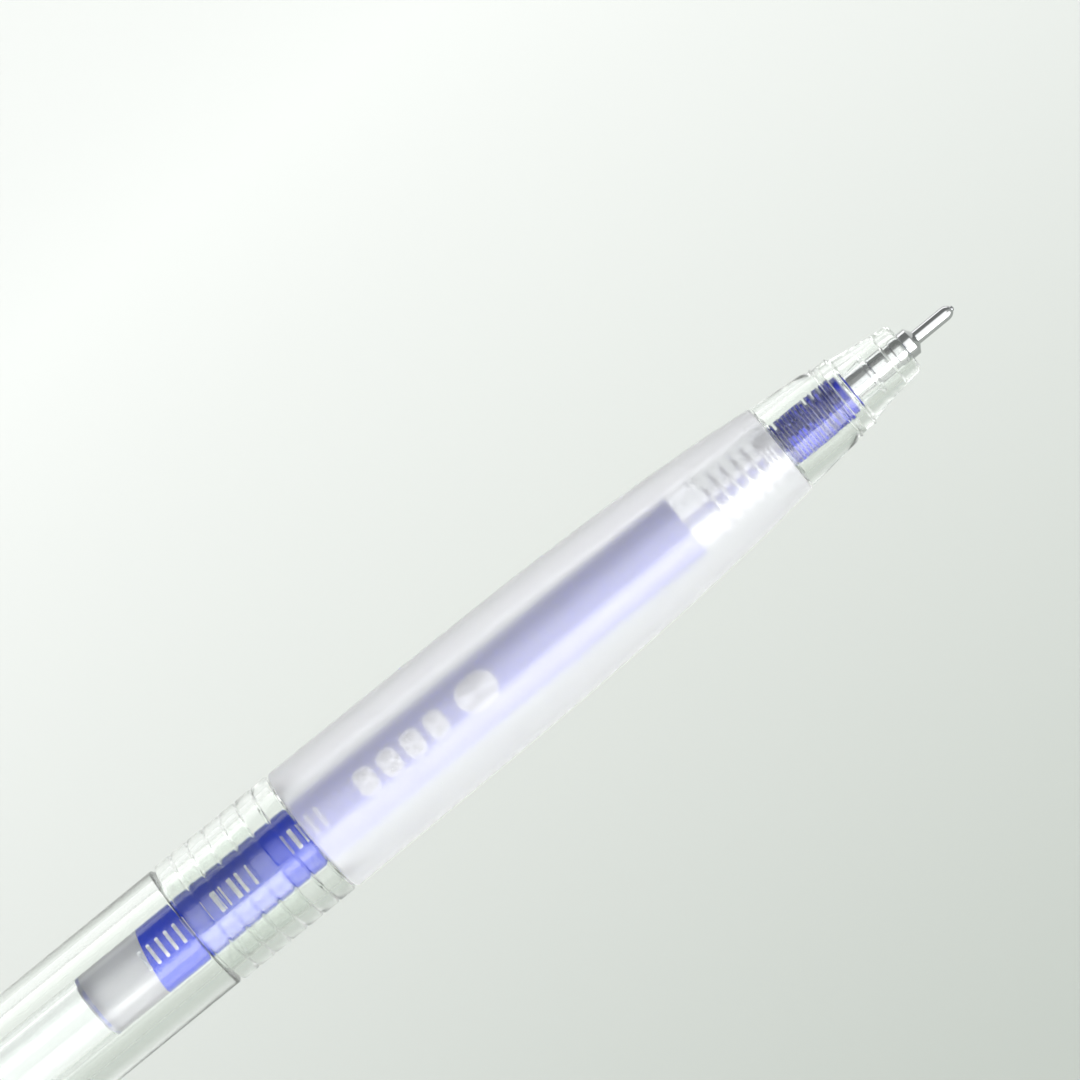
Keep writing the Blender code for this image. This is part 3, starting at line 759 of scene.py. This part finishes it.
def make_grip():
    """The soft sleeve, slightly uneven outside, with a clearer material on its bore."""
    front_r = grip_outer(GRIP_FRONT)
    outer = [(GRIP_FRONT + 0.02, front_r - 0.1), (GRIP_FRONT + 0.08, front_r - 0.02)]
    for station in spread(GRIP_FRONT + 0.25, GRIP_REAR - 0.45, 60):
        outer.append((station, grip_outer(station)))
    outer += arc(GRIP_REAR - 0.3, GRIP_MAX_R - 0.3, 0.3, 80, 0, 6)
    inner_stations = reversed(spread(GRIP_FRONT + 0.02, GRIP_REAR, 60))
    inner = [(station, grip_inner(station)) for station in inner_stations]

    def soft(station, r, angle):
        place = Vector((station * 0.35, 1.5 * math.sin(angle), 1.5 * math.cos(angle)))
        if r > grip_inner(station) + 0.15:
            return station, r - 0.012 * abs(noise.noise(place))
        return station, r

    grip = turned(
        "soft_grip", outer + inner, FROSTED, "front_section", "frosted_rubber", "grip_sleeve",
        segments=FINE_ROUND, relief=soft,
    )
    grip.data.materials.append(SLEEVE_BORE)
    for face in grip.data.polygons:
        outward = Vector((0, face.center.y - AXIS_Y, face.center.z - AXIS_Z))
        if face.normal.dot(outward) < 0:
            face.material_index = 1


def make_spring():
    """The return spring: closed turns on its seat, open turns up to the refill's flange."""
    front, rear, radius = span("return_spring")
    wire = 0.17
    mean = radius - wire
    start = front + wire
    end = rear - wire
    closed_turns = 3
    open_turns = 5
    closed_length = closed_turns * wire * 2.15
    pitch = (end - start - closed_length) / open_turns
    per_turn = 40
    sides = 12
    bm = bmesh.new()
    rings = []
    for i in range((closed_turns + open_turns) * per_turn + 1):
        turn = i / per_turn
        angle = 2 * math.pi * turn
        if turn <= closed_turns:
            station = start + closed_length * turn / closed_turns
        else:
            station = start + closed_length + pitch * (turn - closed_turns)
        ring = []
        for k in range(sides):
            t = 2 * math.pi * k / sides
            around = ring_point(station + wire * math.sin(t), mean + wire * math.cos(t), angle)
            ring.append(bm.verts.new(around))
        rings.append(ring)
    for one, other in zip(rings, rings[1:]):
        bridge(bm, one, other)
    bm.faces.new(rings[0])
    bm.faces.new(list(reversed(rings[-1])))
    spring = mesh_object(bm, "coil_spring", WIRE, None, "spring_steel", "return_spring")
    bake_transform(spring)

    front, rear, radius = span("spring_seat")
    seat_bore_r = 2.0
    turned(
        "seat_ring", tube_outline(front, rear, radius, seat_bore_r, 0.05), POLY,
        "front_section", "refill_plastic", "spring_seat",
    )


# ---------------------------------------------------------------- barrel and clicker

BARREL_FRONT, BARREL_REAR, BARREL_R = span("barrel_tube")
BARREL_BORE_R = 4.0
SHOULDER = 75.3
SPIGOT_R = 4.4
BARREL_NECK = 124.0
BARREL_NECK_R = 4.9
THREAD_PITCH = 1.5
THREAD_HEIGHT = 0.03
THREAD_FRONT, THREAD_REAR = 67.3, 74.6


def make_barrel():
    """The clear barrel with its threaded spigot."""
    middle = 100.0
    outline = [(BARREL_FRONT, BARREL_BORE_R + 0.05), (BARREL_FRONT, SPIGOT_R - 0.12)]
    outline += [(BARREL_FRONT + 0.1, SPIGOT_R)]
    outline += [(station, SPIGOT_R) for station in spread(BARREL_FRONT + 0.3, SHOULDER - 0.3, 58)]
    outline += [(SHOULDER, SPIGOT_R)] + arc(SHOULDER + 0.18, BARREL_R - 0.18, 0.18, 180, 90, 5)
    outline += [(middle, BARREL_R), (BARREL_NECK - 0.1, BARREL_R)]
    outline += [(BARREL_NECK, BARREL_R - 0.1), (BARREL_NECK, BARREL_NECK_R)]
    outline += [(BARREL_REAR - 0.1, BARREL_NECK_R), (BARREL_REAR, BARREL_NECK_R - 0.1)]
    outline += [(BARREL_REAR, BARREL_BORE_R + 0.08), (BARREL_REAR - 0.08, BARREL_BORE_R)]
    outline += [(middle, BARREL_BORE_R), (BARREL_FRONT + 0.05, BARREL_BORE_R)]

    def thread(station, r, angle):
        on_thread = THREAD_FRONT < station < THREAD_REAR and abs(r - SPIGOT_R) < 0.01
        if not on_thread:
            return station, r
        phase = ((station - 67.0) / THREAD_PITCH - angle / (2 * math.pi)) % 1.0
        return station, r + THREAD_HEIGHT * max(0.0, 1 - abs(phase - 0.5) / 0.25)

    turned(
        "clear_barrel", outline, CLEAR, "barrel", "clear_plastic", "barrel_tube",
        segments=FINE_ROUND, relief=thread,
    )


def soften(node, mat, width=0.05):
    """Give a CAD node its material and broken edges."""
    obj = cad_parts[node]
    obj.data.materials.clear()
    obj.data.materials.append(mat)
    obj.data.shade_smooth()
    obj.data.set_sharp_from_angle(angle=SHARP_ANGLE)
    bevel = obj.modifiers.new("edges", "BEVEL")
    bevel.width = width * MM
    bevel.segments = 2
    bevel.limit_method = "ANGLE"
    bevel.angle_limit = math.radians(35)


def make_button():
    """The push button: a crowned end, hollow in front where the plunger stands."""
    front, rear, radius = span("push_button")
    socket_end, socket_r = 142.0, 2.45
    crown = 0.9
    outline = [(socket_end, 0), (socket_end, socket_r), (front + 0.08, socket_r)]
    outline += [(front, socket_r + 0.08), (front, radius - 0.08)]
    outline += [(front + 0.08, radius), (rear - crown, radius)]
    outline += arc(rear - crown, radius - crown, crown, 85, 5, 12)
    outline += [(rear, radius - 1.0), (rear, 0)]
    turned("thumb_button", outline, MILKY, "button", "milky_plastic", "push_button", closed=False)


make_tip()
make_holder()
make_comb()
make_neck()
make_tube_and_ink()
make_print()
make_nose()
make_grip()
make_spring()
make_barrel()
make_button()
soften("ball_spring", WIRE, 0.002)
soften("cam_guide", MILKY)
soften("rear_cap", MILKY, 0.08)
soften("clip", MILKY, 0.15)
soften("thrust_plunger", ACETAL)
soften("rotor_cam", ACETAL)


# ---------------------------------------------------------------- floor, light and camera

PX_PER_MM = 13.0
FRAME_PX = 1080
VIEW_DISTANCE = 480.0
AXIS_SLOPE_DEG = 39.3
LIFT_DEG = 60.0
AIM_STATION = 35.9
AIM_ASIDE = 6.24
STAND_STATION = 20.0
FLOOR_SIZE = 16.0
FLOOR_HEIGHT = -0.12
LIGHT_BOUNCES = 40
GLOSSY_BOUNCES = 12


def aim(obj, target, roll_up=None):
    """Turn a light or camera to look at a point; roll_up sets which way is up in its view."""
    back = (obj.location - target).normalized()
    if roll_up is None:
        obj.rotation_euler = (-back).to_track_quat("-Z", "Y").to_euler()
        return
    right = roll_up.cross(back).normalized()
    up = back.cross(right)
    obj.rotation_euler = Matrix((right, up, back)).transposed().to_euler()


def make_floor():
    """One wide sheet of paper, so far below the pen that its shadow is too soft to see."""
    bpy.ops.mesh.primitive_plane_add(size=FLOOR_SIZE, location=(0, 0, FLOOR_HEIGHT))
    floor = bpy.context.object
    floor.name = "floor"
    floor.data.materials.append(FLOOR)


def soft_box(name, place, width, height, power):
    """A large area light on the pen, which the camera doesn't see."""
    data = bpy.data.lights.new(name, "AREA")
    data.shape = "RECTANGLE"
    data.size = width
    data.size_y = height
    data.energy = power
    obj = bpy.data.objects.new(name, data)
    obj.location = place
    obj.visible_camera = False
    bpy.context.scene.collection.objects.link(obj)
    aim(obj, Vector((0, 0, 0)))


def make_light():
    """A wide key light on the -Y side, a low rim light on the +Y side, a small one above, a sky.

    The sky is bright on the -Y side and darker on the +Y side.
    """
    soft_box("key", Vector((0.12, -1.8, 0.64)), 4.1, 1.5, 90.0)
    soft_box("rim", Vector((0.0, 1.92, 0.34)), 4.1, 0.8, 19.0)
    soft_box("top", Vector((0.0, -0.4, 1.0)), 1.4, 0.9, 4.5)
    world = bpy.data.worlds.new("studio")
    world.use_nodes = True
    nodes = world.node_tree.nodes
    links = world.node_tree.links
    split = nodes.new("ShaderNodeSeparateXYZ")
    where = nodes.new("ShaderNodeTexCoord").outputs["Generated"]
    links.new(where, split.inputs["Vector"])
    level = nodes.new("ShaderNodeMapRange")
    level.interpolation_type = "SMOOTHSTEP"
    level.inputs["From Min"].default_value = -0.5
    level.inputs["From Max"].default_value = 0.4
    level.inputs["To Min"].default_value = 0.9
    level.inputs["To Max"].default_value = 0.3
    links.new(split.outputs["Y"], level.inputs["Value"])
    sky = nodes["Background"]
    sky.inputs["Color"].default_value = (0.96, 1.0, 0.97, 1.0)
    links.new(level.outputs["Result"], sky.inputs["Strength"])
    bpy.context.scene.world = world


def make_camera():
    """Looks down at the pen from the -Y side, rolled so that the pen rises to the upper right."""
    lift = math.radians(LIFT_DEG)
    slope = math.radians(AXIS_SLOPE_DEG)
    toward = Vector((0, -math.cos(lift), math.sin(lift)))
    aside = Vector((0, math.sin(lift), math.cos(lift)))
    along = Vector((1, 0, 0))
    shift = aside * AIM_ASIDE * MM
    target = ring_point(AIM_STATION, 0, 0) + shift
    data = bpy.data.cameras.new("camera")
    camera = bpy.data.objects.new("camera", data)
    bpy.context.scene.collection.objects.link(camera)
    camera.location = ring_point(STAND_STATION, 0, 0) + shift + toward * VIEW_DISTANCE * MM
    aim(camera, target, roll_up=along * math.sin(slope) + aside * math.cos(slope))
    data.sensor_width = 36.0
    data.lens = data.sensor_width * VIEW_DISTANCE * PX_PER_MM / FRAME_PX
    data.clip_start = 0.01
    data.clip_end = 20.0
    bpy.context.scene.camera = camera


make_floor()
make_light()
make_camera()
bpy.context.scene.view_settings.view_transform = "Standard"
bpy.context.scene.cycles.max_bounces = LIGHT_BOUNCES
bpy.context.scene.cycles.transmission_bounces = LIGHT_BOUNCES
bpy.context.scene.cycles.glossy_bounces = GLOSSY_BOUNCES
